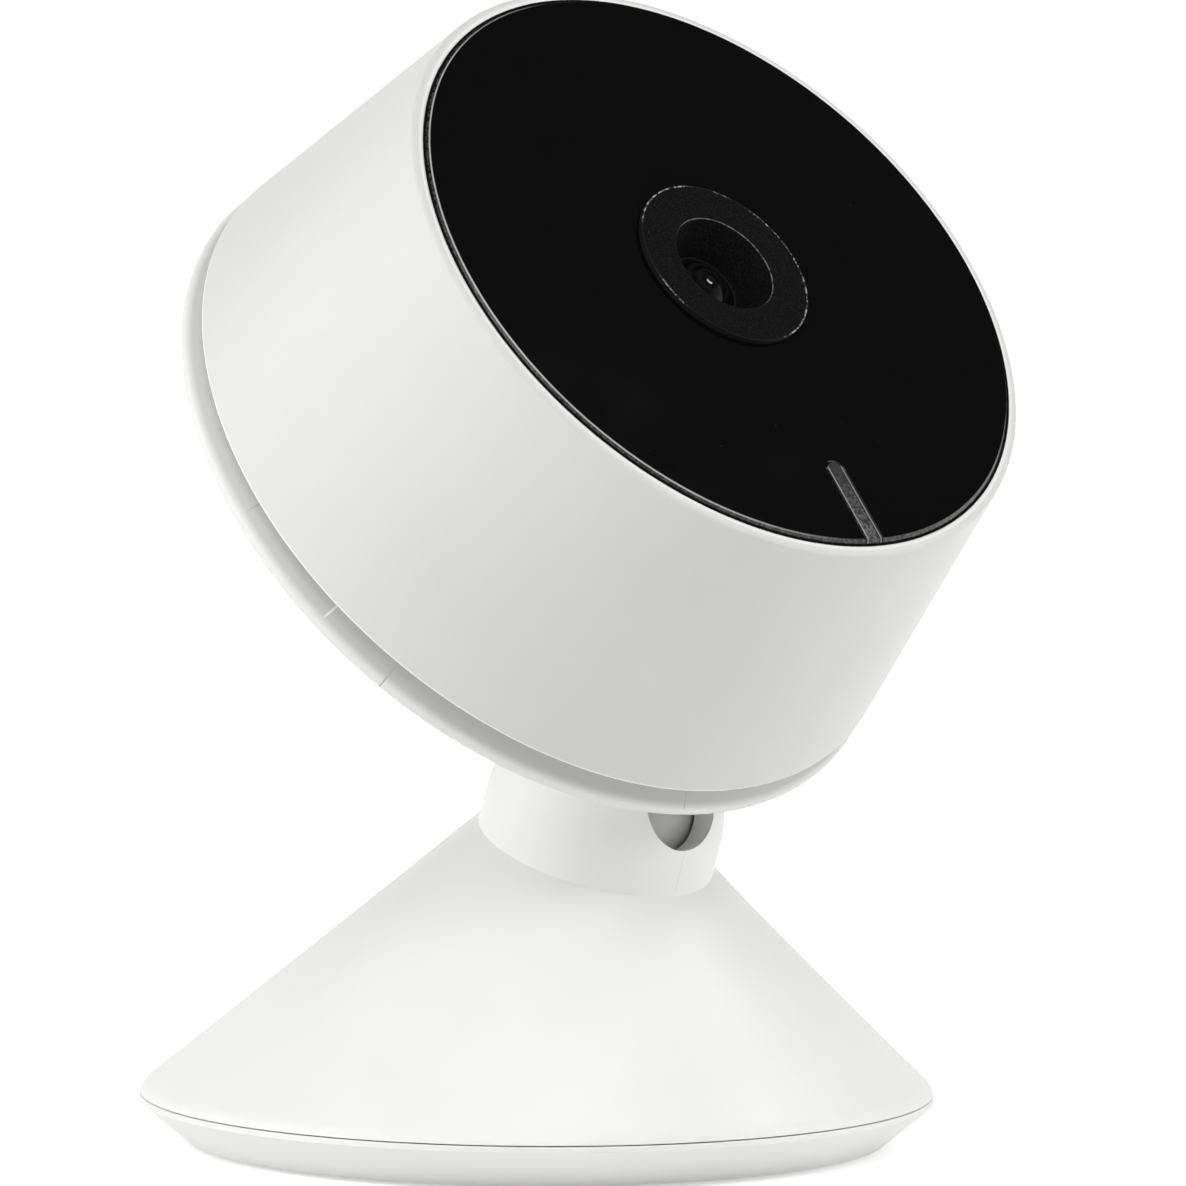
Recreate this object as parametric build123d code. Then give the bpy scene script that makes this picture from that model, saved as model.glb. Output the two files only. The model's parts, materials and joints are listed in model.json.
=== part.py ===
from build123d import *
import os
from math import cos, radians, sin, sqrt, tan

# Security camera: a round head on a ball joint over a weighted cone base.
# Millimetres, +Z up, origin at the centre of the underside, front of the camera towards -Y.

# Base
base_radius = 36.0
foot_stand = 0.3
plate_height = 4.0
plate_taper = 4.15
plate_land = 0.5
plate_floor = 2.4
seam_gap = 0.12
seam_round = 0.15
lip_height = 0.35
lip_round = 2.0
cone_wall = 2.4
spigot_wall = 1.5
spigot_height = 0.9
spigot_clearance = 1.0
foot_thickness = 1.0
foot_margin = 2.2
foot_clearance = 0.2
base_screw_inset = 9.4
base_boss_radius = 3.0
base_pad_height = 1.5
base_screw_length = 6.4
ballast_height = 6.0
ballast_clearance = 1.4
ballast_boss_radius = 4.0
ballast_boss_drop = 1.0
ballast_screw_length = 5.0

# Neck
neck_lean = 19.9
neck_forward = 7.65
neck_rise = 22.95
neck_radius = 10.85
neck_straight = 3.15
neck_wall = 2.3

# Ball joint
ball_clearance = 0.3
stem_radius = 3.8
notch_clearance = 0.3
lowest_angle = 9.0
upright_angle = 90.0
cup_clearance = 0.08
cup_slide = 0.15
cup_top = 3.5
cup_height = 3.7
spring_height = 1.6
spring_gauge = 0.7
spring_bore = 5.0
clamp_thickness = 1.2
collar_wall = 2.7
clamp_screw_inset = 0.1
clamp_ear_radius = 2.6
clamp_screw_length = 5.2

# Head
head_tilt = 40.2
head_reach = 14.55
stem_inset = 7.9
head_length = 28.4
head_rear_radius = 36.35
head_front_radius = 31.5
head_wall = 1.8
front_round = 0.45
rear_round = 0.1
lip_width = 1.0
glass_gap = 0.1
glass_thickness = 1.6
glass_bevel = 0.4
glass_proud = 0.42
film_thickness = 0.2
ledge_width = 2.1
ledge_thickness = 1.5

# Lens
window_radius = 8.65
window_gap = 0.05
window_lap = 0.2
bezel_mouth = 5.15
bezel_throat = 3.4
bezel_proud = 0.45
bezel_depth = 3.5
barrel_head_radius = 7.0
barrel_head_length = 3.6
thread_radius = 6.0
thread_length = 5.6
element_radius = 3.2
element_seat = 1.0
element_crown = 1.2
holder_gap = 0.6
holder_side = 17.0
holder_base = 3.4
holder_radius = 7.5
holder_screw_offset = 10.4
holder_ear_height = 1.2
sensor_side = 9.0
sensor_height = 1.0
sensor_room = 0.5
filter_length = 15.0
filter_width = 8.6
filter_thickness = 0.8
filter_clearance = 0.2
filter_offset = 2.5
actuator_length = 9.0
actuator_depth = 4.0
actuator_height = 5.0

# Light pipe
pipe_width = 1.8
pipe_length = 8.7
pipe_tail = 4.7
pipe_clearance = 0.05
slot_bevel = 0.15

# Front frame and boards
frame_flange = 2.0
frame_clearance = 0.3
post_offset = 13.5
post_radius = 2.2
post_length = 11.3
board_thickness = 1.2
board_spacing = 4.4
sensor_board_side = 32.0
main_board_gap = 1.0
led_board_inset = 3.6
led_board_bore = 10.0
led_ring_radius = 17.0
led_side = 3.5
led_height = 1.7
led_window_radius = 2.8
light_sensor_angle = 22.5
light_sensor_side = 2.4
light_sensor_height = 0.9
status_led_side = 1.6
status_led_height = 0.8
standoff_radius = 2.4
screw_hole_radius = 1.05
connector_length = 12.0
connector_depth = 4.0
connector_place = -11.0
led_connector_length = 5.0
led_connector_depth = 2.5
led_connector_place = -14.0
processor_side = 14.0
processor_height = 1.2
spreader_length = 22.0
spreader_width = 15.0
spreader_height = 1.4
processor_place = 3.0
antenna_length = 26.0
antenna_gauge = 1.0
antenna_height = 7.0
antenna_place = 19.5

# Rear cover
groove_width = 2.2
groove_slope = 45.0
bead_radius = 0.6
rim_overhang = 0.35
cover_crown = 4.5
cover_wall = 2.0
cover_spigot_wall = 1.6
cover_spigot_length = 2.6
cover_fit = 0.15
dome_clearance = 0.75
stem_boss_radius = 6.0
stem_boss_height = 2.9
stem_face_depth = 0.3
stem_face_gap = 0.05
stem_spigot_radius = 2.5
stem_fit = 0.05
washer_radius = 4.3
washer_thickness = 0.8
washer_room = 0.4
nut_flats = 7.0
nut_height = 2.4
cover_screw_inset = 7.8
cover_boss_radius = 3.0
cover_boss_length = 9.8
cover_boss_start = 1.2
cover_rib = 2.4
cover_screw_seat = 2.8
cover_screw_length = 8.4
screw_well_radius = 2.4
speaker_place = 13.0
speaker_radius = 10.0
speaker_height = 4.4
speaker_magnet_radius = 6.5
speaker_magnet_height = 1.6
speaker_rest = 4.4
speaker_wall = 1.4
speaker_wall_height = 2.4
gasket_thickness = 0.6
gasket_width = 2.0
sound_depth = 0.9
grille_hole_radius = 0.7
grille_pitch = 2.4
grille_rings = 3
socket_place = -8.0
socket_width = 9.0
socket_height = 3.2
socket_shell = 0.35
socket_depth = 6.5
socket_recess = 0.6
tongue_width = 6.7
tongue_thickness = 0.7
plug_margin = 2.0
plug_recess = 1.0
button_x = 12.0
button_y = -8.0
button_radius = 2.1
button_clearance = 0.25
button_recess = 0.3
button_flange = 0.8
button_flange_height = 1.0
button_tail_radius = 1.2
button_travel = 0.4
button_spare = 0.1
switch_side = 6.0
switch_height = 3.5
plunger_radius = 1.6
plunger_height = 0.5
mic_x = -12.0
mic_y = -8.0
mic_length = 3.8
mic_width = 3.0
mic_height = 1.1
mic_hole_radius = 0.5

# Screws: head radius, head height, shank radius; the cross is given in head radii
small_screw = (1.9, 1.3, 0.9)
case_screw = (2.0, 1.6, 1.1)
base_screw = (2.2, 1.0, 1.25)
weight_screw = (5.5, 1.6, 1.5)
cross_span = 1.2
cross_width = 0.3
thread_clearance = 0.03
screw_clearance = 0.2

# A cutter reaches this far past what it cuts
overshoot = 1.0
far_reach = 60.0

# Edges are found to within this distance
edge_tolerance = 0.01

# Heights of the base
plate_bottom = foot_stand
seam_bottom = plate_bottom + plate_height
shell_bottom = seam_bottom + seam_gap
lip_top = shell_bottom + lip_height
plate_floor_top = plate_bottom + plate_floor
pad_top = plate_floor_top + base_pad_height
plate_bottom_radius = base_radius - plate_taper
foot_radius = plate_bottom_radius - foot_margin
base_screw_ring = base_radius - base_screw_inset
base_screw_angles = (30.0, 150.0, 270.0)
shell_inner_radius = base_radius - cone_wall
spigot_radius = shell_inner_radius - spigot_clearance
ballast_radius = base_screw_ring - base_boss_radius - ballast_clearance
ballast_top = plate_floor_top + ballast_height

# Neck and ball, with the leaning frame at the ball's centre
bore_radius = neck_radius - neck_wall
ball_radius = bore_radius - ball_clearance
notch_half = stem_radius + notch_clearance
lean = radians(neck_lean)
neck_axis = Vector(0, -sin(lean), cos(lean))
crease_centre = Vector(0, -neck_forward, shell_bottom + neck_rise)
ball_centre = crease_centre + neck_axis * neck_straight
crease_place = Plane(crease_centre, x_dir=(1, 0, 0), z_dir=neck_axis).location
neck_place = Plane(ball_centre, x_dir=(1, 0, 0), z_dir=neck_axis).location
cup_radius = bore_radius - cup_slide
cup_bottom = -cup_top - cup_height
clamp_top = cup_bottom - spring_height
clamp_bottom = clamp_top - clamp_thickness
collar_radius = bore_radius + collar_wall
clamp_screw_ring = collar_radius - clamp_screw_inset
clamp_screw_angles = (0.0, 180.0, 270.0)

# Head frame: z forward along the lens axis, zero at the rear edge of the shell, y up the glass
stem_drop = head_rear_radius - stem_inset
tilt = radians(head_tilt)
head_forward = Vector(0, -cos(tilt), sin(tilt))
head_up = Vector(0, sin(tilt), cos(tilt))
head_centre = ball_centre + head_up * stem_drop + head_forward * head_reach
head_place = Plane(head_centre, x_dir=(1, 0, 0), z_dir=head_forward).location

# Depths in the head, from the glass to the back
glass_radius = head_front_radius - lip_width - glass_gap
glass_front = head_length + glass_proud
glass_back = glass_front - glass_thickness
film_back = glass_back - film_thickness
ledge_back = film_back - ledge_thickness
ledge_radius = glass_radius - ledge_width
frame_back = ledge_back - frame_flange
bezel_front = glass_front + bezel_proud
barrel_front = bezel_front - bezel_depth
barrel_head_back = barrel_front - barrel_head_length
thread_back = barrel_head_back - thread_length
holder_top = barrel_head_back - holder_gap
post_back = frame_back - post_length
sensor_board_back = post_back - board_thickness
main_board_front = sensor_board_back - board_spacing
main_board_back = main_board_front - board_thickness
led_board_back = frame_back - board_thickness
holder_base_top = post_back + holder_base
sensor_top = post_back + sensor_height
filter_bottom = sensor_top + sensor_room
bezel_radius = window_radius + window_lap
bezel_bore = bezel_radius + pipe_clearance
pipe_inner_y = pipe_length - glass_radius
pipe_tail_back = frame_back + status_led_height + pipe_clearance
status_led_y = pipe_inner_y - pipe_tail / 2
board_corners = [(x, y) for x in (-post_offset, post_offset) for y in (-post_offset, post_offset)]

# Rear cover in the head frame
cone_slope = (head_rear_radius - head_front_radius) / head_length
bead_centre = head_rear_radius + rim_overhang - bead_radius
rim_back = -groove_width - 2 * bead_radius
groove_radius = head_rear_radius - cone_slope * cover_spigot_length - head_wall - cover_fit
cover_inner_radius = groove_radius - cover_spigot_wall
crown_radius = (bead_centre ** 2 + cover_crown ** 2) / (2 * cover_crown)
dome_recess = neck_radius + dome_clearance
recess_bottom = dome_recess - head_reach
stem_face = recess_bottom + stem_face_depth
boss_top = stem_face + stem_boss_height
washer_top = boss_top + washer_thickness
nut_top = washer_top + nut_height
cover_screw_ring = head_rear_radius - cover_screw_inset
cover_screw_angles = (90.0, 210.0, 330.0)
main_board_radius = cover_screw_ring - cover_boss_radius - main_board_gap
cover_seat = cover_boss_start - cover_screw_seat
speaker_seat = -speaker_rest
gasket_top = speaker_seat + gasket_thickness
speaker_top = gasket_top + speaker_height


def rod(radius, bottom, top, x=0.0, y=0.0):
    """Round bar between two heights."""
    return Pos(x, y, (bottom + top) / 2) * Cylinder(radius, top - bottom)


def bore(radius, bottom, top, x=0.0, y=0.0):
    """Cutter for a round hole that goes right through between two heights."""
    return rod(radius, bottom - overshoot, top + overshoot, x, y)


def tube(outer, inner, bottom, top, x=0.0, y=0.0):
    """Round bar with a bore."""
    return rod(outer, bottom, top, x, y) - bore(inner, bottom, top, x, y)


def block(width, depth, bottom, top, x=0.0, y=0.0):
    """Rectangular bar between two heights."""
    return Pos(x, y, (bottom + top) / 2) * Box(width, depth, top - bottom)


def stadium(width, height, bottom, top, x=0.0, y=0.0):
    """Bar with round ends, its long side along x."""
    return Pos(x, y, bottom) * extrude(SlotOverall(width, height), top - bottom)


def spun(points):
    """Solid of revolution about z from (radius, height) corners."""
    corners = [(radius, 0, height) for radius, height in points]
    return revolve(make_face(Polyline(*corners, close=True)), Axis.Z)


def ring_points(radius, angles):
    """Points on a circle at angles in degrees."""
    return [(radius * cos(radians(angle)), radius * sin(radians(angle))) for angle in angles]


def joined(pieces):
    """One solid out of several that touch."""
    whole = pieces[0]
    for piece in pieces[1:]:
        whole = whole + piece
    return whole


def group(pieces):
    """Separate solids kept in one node."""
    solids = [solid for piece in pieces for solid in piece.solids()]
    return Compound(children=solids)


def screw(size, length):
    """Cross-head screw: the head hangs below zero and the shank rises from it."""
    head_radius, head_height, shank_radius = size
    body = rod(head_radius, -head_height, 0) + rod(shank_radius, 0, length)
    recess_depth = head_height / 2
    recess_span = head_radius * cross_span
    recess_width = head_radius * cross_width
    recess_top = recess_depth - head_height
    for width, depth in ((recess_span, recess_width), (recess_width, recess_span)):
        body = body - block(width, depth, -head_height - overshoot, recess_top)
    return body


def circle_edges(part, height, radius):
    """Round edges about z at one height and radius."""
    found = []
    for edge in part.edges().filter_by(GeomType.CIRCLE):
        level = abs(edge.center(CenterOf.BOUNDING_BOX).Z - height) < edge_tolerance
        if level and abs(edge.radius - radius) < edge_tolerance:
            found.append(edge)
    return found


def crown_height(radius):
    """Height of the rear cover's domed back at a distance from the axis."""
    return rim_back - cover_crown + crown_radius - sqrt(crown_radius ** 2 - radius ** 2)


# Base


def cone_body(rim_radius, bottom, neck_circle):
    """Straight lip, then the slanted cone up to the leaning neck circle."""
    lower = Pos(0, 0, lip_top) * Circle(rim_radius)
    upper = crease_place * Circle(neck_circle)
    return rod(rim_radius, bottom, lip_top) + loft([lower, upper], ruled=True)


def neck_notch():
    """Path of the stem through the dome, from its lowest to its highest angle."""
    corners = [(0, 0)] + ring_points(far_reach, (lowest_angle, upright_angle))
    sector = Pos(0, 0, -notch_half) * extrude(make_face(Polyline(*corners, close=True)), 2 * notch_half)
    upright_sector = Plane(ball_centre, x_dir=(0, -1, 0), z_dir=(-1, 0, 0)).location * sector
    ends = []
    for angle in (lowest_angle, upright_angle):
        aim = Vector(0, -cos(radians(angle)), sin(radians(angle)))
        place = Plane(ball_centre, x_dir=(1, 0, 0), z_dir=aim).location
        ends.append(place * rod(notch_half, 0, far_reach))
    return joined([upright_sector] + ends)


def base_shell():
    """Cone, neck and dome in one hollow moulding, notched for the stem."""
    lip_root = shell_bottom - lip_round
    outer = cone_body(base_radius, lip_root, neck_radius)
    outer = fillet(circle_edges(outer, lip_top, base_radius), lip_round)
    outer = outer - bore(base_radius + overshoot, lip_root, shell_bottom - overshoot)
    outer = outer + neck_place * rod(neck_radius, -neck_straight, 0)
    outer = outer + neck_place * Sphere(neck_radius)
    inner = cone_body(shell_inner_radius, shell_bottom - overshoot, bore_radius)
    shell = outer - inner
    collar = rod(collar_radius, clamp_top, 0)
    ear_points = ring_points(clamp_screw_ring, clamp_screw_angles)
    ears = [rod(clamp_ear_radius, clamp_top, 0, x, y) for x, y in ear_points]
    shell = shell + (neck_place * joined([collar] + ears) & outer)
    for x, y in ring_points(base_screw_ring, base_screw_angles):
        shell = shell + (rod(base_boss_radius, pad_top, crease_centre.Z, x, y) & outer)
    shell = shell - neck_place * (rod(bore_radius, clamp_top - overshoot, 0) + Sphere(bore_radius))
    shell = shell - neck_notch()
    pilot = small_screw[2] + thread_clearance
    depth = clamp_bottom + clamp_screw_length
    for x, y in ear_points:
        shell = shell - neck_place * rod(pilot, clamp_top - overshoot, depth, x, y)
    pilot = base_screw[2] + thread_clearance
    for x, y in ring_points(base_screw_ring, base_screw_angles):
        shell = shell - rod(pilot, pad_top - overshoot, base_screw_top(), x, y)
    return shell


def base_screw_seat():
    """Height at which the heads of the base screws bear on the plate."""
    return foot_thickness + base_screw[1]


def base_screw_top():
    """Tip of the base screws."""
    return base_screw_seat() + base_screw_length


def base_plate():
    """Tapered dish under the seam, with pads for the screws and a boss for the weight."""
    floor_radius = spigot_radius - spigot_wall
    plate = spun([
        (0, plate_bottom),
        (plate_bottom_radius, plate_bottom),
        (base_radius, seam_bottom - plate_land),
        (base_radius, seam_bottom),
        (spigot_radius, seam_bottom),
        (spigot_radius, seam_bottom + spigot_height),
        (floor_radius, seam_bottom + spigot_height),
        (floor_radius, plate_floor_top),
        (0, plate_floor_top),
    ])
    plate = fillet(circle_edges(plate, seam_bottom, base_radius), seam_round)
    plate = plate + rod(ballast_boss_radius, plate_bottom, ballast_top - ballast_boss_drop)
    for x, y in ring_points(base_screw_ring, base_screw_angles):
        plate = plate + rod(base_boss_radius, plate_bottom, pad_top, x, y)
        plate = plate - rod(base_screw[0] + screw_clearance, 0, base_screw_seat(), x, y)
        plate = plate - rod(base_screw[2] + screw_clearance, 0, pad_top + overshoot, x, y)
    plate = plate - rod(foot_radius + foot_clearance, 0, foot_thickness)
    pilot = weight_screw[2] + thread_clearance
    return plate - rod(pilot, ballast_top - ballast_screw_length, ballast_top)


def rubber_foot():
    """Non-slip disc let into the underside."""
    return rod(foot_radius, 0, foot_thickness)


def ballast():
    """Steel weight round the central boss."""
    hole_radius = ballast_boss_radius + screw_clearance
    return tube(ballast_radius, hole_radius, plate_floor_top, ballast_top)


def ballast_screw():
    """Wide-headed screw that holds the weight down."""
    return Pos(0, 0, ballast_top) * Rot(180, 0, 0) * screw(weight_screw, ballast_screw_length)


def base_screws():
    """Screws through the plate into the shell, hidden by the foot."""
    points = ring_points(base_screw_ring, base_screw_angles)
    return group([Pos(x, y, base_screw_seat()) * screw(base_screw, base_screw_length) for x, y in points])


# Joint


def ball_stem():
    """Ball and stem, with a thinner end that passes through the rear cover."""
    shoulder = head_reach + stem_face - stem_face_gap
    stem = rod(stem_radius, 0, shoulder) + rod(stem_spigot_radius, shoulder, head_reach + nut_top)
    return Pos(0, -stem_drop, -head_reach) * (Sphere(ball_radius) + stem)


def stem_washer():
    """Friction washer under the nut."""
    return tube(washer_radius, stem_spigot_radius + stem_fit, boss_top, washer_top, 0, -stem_drop)


def stem_nut():
    """Hexagon nut on the end of the stem."""
    corner_radius = nut_flats / sqrt(3)
    hexagon = Pos(0, -stem_drop, washer_top) * extrude(RegularPolygon(corner_radius, 6), nut_height)
    return hexagon - bore(stem_spigot_radius + stem_fit, washer_top, nut_top, 0, -stem_drop)


def friction_cup():
    """Ring with a spherical seat under the ball."""
    return rod(cup_radius, cup_bottom, -cup_top) - Sphere(ball_radius + cup_clearance)


def clamp_spring():
    """Conical spring washer between the cup and the plate."""
    rim = cup_radius - cup_slide
    drop = spring_height - spring_gauge
    return spun([
        (spring_bore, cup_bottom),
        (spring_bore, cup_bottom - spring_gauge),
        (rim, cup_bottom - spring_gauge - drop),
        (rim, cup_bottom - drop),
    ])


def clamp_plate():
    """Steel plate that closes the neck, with three ears for screws."""
    disc = rod(collar_radius - cup_slide, clamp_bottom, clamp_top)
    points = ring_points(clamp_screw_ring, clamp_screw_angles)
    plate = joined([disc] + [rod(clamp_ear_radius, clamp_bottom, clamp_top, x, y) for x, y in points])
    for x, y in points:
        plate = plate - rod(small_screw[2] + screw_clearance, clamp_bottom - overshoot, overshoot, x, y)
    return plate


def clamp_screws():
    """Screws that hold the clamp plate to the neck."""
    points = ring_points(clamp_screw_ring, clamp_screw_angles)
    return group([Pos(x, y, clamp_bottom) * screw(small_screw, clamp_screw_length) for x, y in points])


# Head casing


def shell_radius(height):
    """Outer radius of the conical shell at a height along the head."""
    return head_rear_radius - cone_slope * height


def head_shell():
    """Conical casing with a seat for the glass and three screw bosses."""
    shell = spun([
        (head_rear_radius, 0),
        (head_front_radius, head_length),
        (glass_radius + glass_gap, head_length),
        (glass_radius + glass_gap, film_back),
        (ledge_radius, film_back),
        (ledge_radius, ledge_back),
        (shell_radius(ledge_back) - head_wall, ledge_back),
        (head_rear_radius - head_wall, 0),
    ])
    shell = fillet(circle_edges(shell, head_length, head_front_radius), front_round)
    shell = fillet(circle_edges(shell, 0, head_rear_radius), rear_round)
    boss_end = cover_boss_start + cover_boss_length
    middle_wall = spun([
        (0, 0),
        (head_rear_radius - head_wall / 2, 0),
        (shell_radius(boss_end) - head_wall / 2, boss_end),
        (0, boss_end),
    ])
    rib_start = cover_spigot_length + screw_clearance
    rib_length = head_rear_radius - cover_screw_ring
    pilot = case_screw[2] + thread_clearance
    for angle in cover_screw_angles:
        boss = rod(cover_boss_radius, cover_boss_start, boss_end, cover_screw_ring)
        boss = boss + block(rib_length, cover_rib, rib_start, boss_end, cover_screw_ring + rib_length / 2)
        boss = boss - rod(pilot, 0, cover_seat + cover_screw_length, cover_screw_ring)
        shell = shell + Rot(0, 0, angle) * (boss & middle_wall)
    return shell


def pipe_bar(extra, bottom, top, outer_y):
    """Radial bar at the foot of the glass, round at its inner end."""
    half = pipe_width / 2 + extra
    centre = pipe_inner_y - pipe_width / 2
    straight = block(2 * half, centre - outer_y, bottom, top, 0, (centre + outer_y) / 2)
    return straight + rod(half, bottom, top, 0, centre)


def pipe_slot(bottom, top, outer_y):
    """Cutter for the light pipe's slot between two heights."""
    return pipe_bar(pipe_clearance, bottom - overshoot, top + overshoot, outer_y)


def slot_edges(disc):
    """Front edges of the light pipe's slot."""
    slot_reach = pipe_width / 2 + pipe_clearance + edge_tolerance
    front = disc.faces().sort_by(Axis.Z)[-1]
    lower = [edge for edge in front.edges() if edge.center().Y < 0]
    return [edge for edge in lower if abs(edge.center().X) < slot_reach]


def bevelled_disc(bottom):
    """Disc of the glass's radius with its bevelled front edge."""
    disc = rod(glass_radius, bottom, glass_front)
    return chamfer(circle_edges(disc, glass_front, glass_radius), glass_bevel)


def front_glass():
    """Bevelled disc with the lens hole and the slot for the light pipe."""
    disc = bevelled_disc(glass_back)
    disc = disc - bore(window_radius + window_gap, glass_back, glass_front)
    disc = disc - pipe_slot(glass_back, glass_front, -glass_radius - overshoot)
    return chamfer(slot_edges(disc), slot_bevel)


def mask_film():
    """Black printed film behind the glass with the lens window."""
    film = tube(glass_radius, window_radius + window_gap, film_back, glass_back)
    return film - pipe_slot(film_back, glass_back, -glass_radius - overshoot)


def light_pipe():
    """Translucent strip flush with the glass and a tail that reaches the status light."""
    strip = pipe_bar(0, film_back, glass_front, -glass_radius - overshoot)
    strip = strip & bevelled_disc(film_back)
    return strip + pipe_bar(0, pipe_tail_back, film_back, pipe_inner_y - pipe_tail)


def front_frame():
    """Moulded frame behind the glass, with posts for the boards."""
    flange_radius = shell_radius(ledge_back) - head_wall - frame_clearance
    frame = rod(flange_radius, frame_back, ledge_back)
    frame = frame + rod(ledge_radius - frame_clearance, ledge_back, film_back)
    frame = frame - bore(bezel_bore, frame_back, film_back)
    frame = frame - pipe_slot(frame_back, film_back, pipe_inner_y - pipe_tail - pipe_clearance)
    for x, y in led_points():
        frame = frame - bore(led_window_radius, frame_back, film_back, x, y)
    x, y = light_sensor_point()
    frame = frame - bore(light_sensor_side, frame_back, film_back, x, y)
    pilot = screw_hole_radius + thread_clearance
    for x, y in board_corners:
        frame = frame + rod(post_radius, post_back, frame_back, x, y)
        frame = frame - rod(pilot, post_back - overshoot, post_back + stud_length(), x, y)
    return frame


# Lens


def lens_bezel():
    """Matte ring through the glass, flanged behind it, with a conical recess to the lens."""
    ring = rod(bezel_radius, barrel_front, film_back) + rod(window_radius, film_back, bezel_front)
    return ring - spun([
        (0, barrel_front),
        (bezel_throat, barrel_front),
        (bezel_mouth, bezel_front),
        (0, bezel_front),
    ])


def lens_barrel():
    """Threaded lens barrel with its head behind the bezel."""
    barrel = rod(barrel_head_radius, barrel_head_back, barrel_front)
    barrel = barrel + rod(thread_radius, thread_back, barrel_head_back)
    barrel = barrel - rod(element_radius, barrel_front - element_seat, barrel_front + overshoot)
    return barrel - rod(element_radius / 2, thread_back - overshoot, barrel_front)


def lens_front_element():
    """Domed front glass of the lens."""
    radius = element_radius - pipe_clearance
    dome_radius = (radius ** 2 + element_crown ** 2) / (2 * element_crown)
    seat = barrel_front - element_seat
    pole = barrel_front + element_crown
    dome = Pos(0, 0, pole - dome_radius) * Sphere(dome_radius)
    return rod(radius, seat, barrel_front) + (dome & rod(radius, barrel_front, pole))


def lens_holder():
    """Mount on the sensor board that the barrel screws into, with a slot for the filter."""
    holder = block(holder_side, holder_side, post_back, holder_base_top)
    holder = holder + rod(holder_radius, holder_base_top, holder_top)
    ear_top = post_back + holder_ear_height
    holder = holder + block(2 * holder_screw_offset, 2 * small_screw[0], post_back, ear_top)
    for x in (-holder_screw_offset, holder_screw_offset):
        holder = holder + rod(small_screw[0], post_back, ear_top, x, 0)
        holder = holder - bore(small_screw[2] + thread_clearance, post_back, ear_top, x, 0)
    room = sensor_side + 2 * screw_clearance
    holder = holder - block(room, room, post_back - overshoot, sensor_top + screw_clearance)
    slot_width = filter_width + 2 * filter_clearance
    slot_top = filter_bottom + filter_thickness + filter_clearance
    slot_bottom = filter_bottom - filter_clearance
    holder = holder - block(far_reach, slot_width, slot_bottom, slot_top)
    holder = holder - rod(sensor_side / 2, post_back, slot_top)
    return holder - rod(thread_radius + thread_clearance, slot_top - overshoot, holder_top + overshoot)


def lens_holder_screws():
    """Two screws from behind the sensor board."""
    length = board_thickness + holder_ear_height
    places = (-holder_screw_offset, holder_screw_offset)
    return group([Pos(x, 0, sensor_board_back) * screw(small_screw, length) for x in places])


def ir_cut_filter():
    """Sliding filter plate between the lens and the sensor."""
    top = filter_bottom + filter_thickness
    return block(filter_length, filter_width, filter_bottom, top, -filter_offset, 0)


def filter_actuator():
    """Small coil that moves the filter, fixed to the side of the holder."""
    y = holder_side / 2 + actuator_depth / 2
    return block(actuator_length, actuator_depth, post_back, post_back + actuator_height, 0, y)


def image_sensor():
    """Sensor package under the filter."""
    return block(sensor_side, sensor_side, post_back, sensor_top)


# Boards


def led_points():
    """Places of the infrared lights."""
    return ring_points(led_ring_radius, (0.0, 90.0, 180.0, 270.0))


def light_sensor_point():
    """Place of the light sensor."""
    return ring_points(led_ring_radius, (light_sensor_angle,))[0]


def stud_length():
    """Depth that the studs of the standoffs reach into the posts."""
    return post_length / 2


def drilled(board, bottom, top, radius):
    """Board with a hole at each corner post."""
    for x, y in board_corners:
        board = board - bore(radius, bottom, top, x, y)
    return board


def led_board():
    """Ring board behind the frame."""
    outer = glass_radius - led_board_inset
    board = tube(outer, led_board_bore, led_board_back, frame_back)
    return drilled(board, led_board_back, frame_back, post_radius + frame_clearance)


def infrared_leds():
    """Four infrared lights behind the print."""
    top = frame_back + led_height
    return group([block(led_side, led_side, frame_back, top, x, y) for x, y in led_points()])


def light_sensor():
    """Light sensor that switches to night view."""
    x, y = light_sensor_point()
    top = frame_back + light_sensor_height
    return block(light_sensor_side, light_sensor_side, frame_back, top, x, y)


def status_led():
    """Light behind the light pipe."""
    top = frame_back + status_led_height
    return block(status_led_side, status_led_side, frame_back, top, 0, status_led_y)


def led_connector():
    """Pin header between the ring board and the sensor board."""
    width, depth = led_connector_length, led_connector_depth
    return block(width, depth, post_back, led_board_back, 0, led_connector_place)


def sensor_board():
    """Square board that carries the sensor."""
    board = block(sensor_board_side, sensor_board_side, sensor_board_back, post_back)
    for x in (-holder_screw_offset, holder_screw_offset):
        board = board - bore(small_screw[2] + screw_clearance, sensor_board_back, post_back, x, 0)
    return drilled(board, sensor_board_back, post_back, screw_hole_radius + screw_clearance)


def board_standoffs():
    """Pillars between the boards with studs that screw into the posts."""
    pillars = []
    for x, y in board_corners:
        pillar = rod(standoff_radius, main_board_front, sensor_board_back, x, y)
        pillar = pillar + rod(screw_hole_radius, sensor_board_back, post_back + stud_length(), x, y)
        pilot = small_screw[2] + thread_clearance
        pillars.append(pillar - rod(pilot, main_board_front - overshoot, sensor_board_back, x, y))
    return group(pillars)


def board_screws():
    """Screws that hold the main board on the pillars."""
    length = board_thickness + board_spacing - overshoot
    return group([Pos(x, y, main_board_back) * screw(small_screw, length) for x, y in board_corners])


def board_connector():
    """Stacking connector between the boards."""
    return block(connector_length, connector_depth, main_board_front, sensor_board_back, 0, connector_place)


def main_board():
    """Round board with the processor."""
    board = rod(main_board_radius, main_board_back, main_board_front)
    return drilled(board, main_board_back, main_board_front, small_screw[2] + screw_clearance)


def processor():
    """Main chip."""
    top = main_board_front + processor_height
    return block(processor_side, processor_side, main_board_front, top, 0, processor_place)


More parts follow.
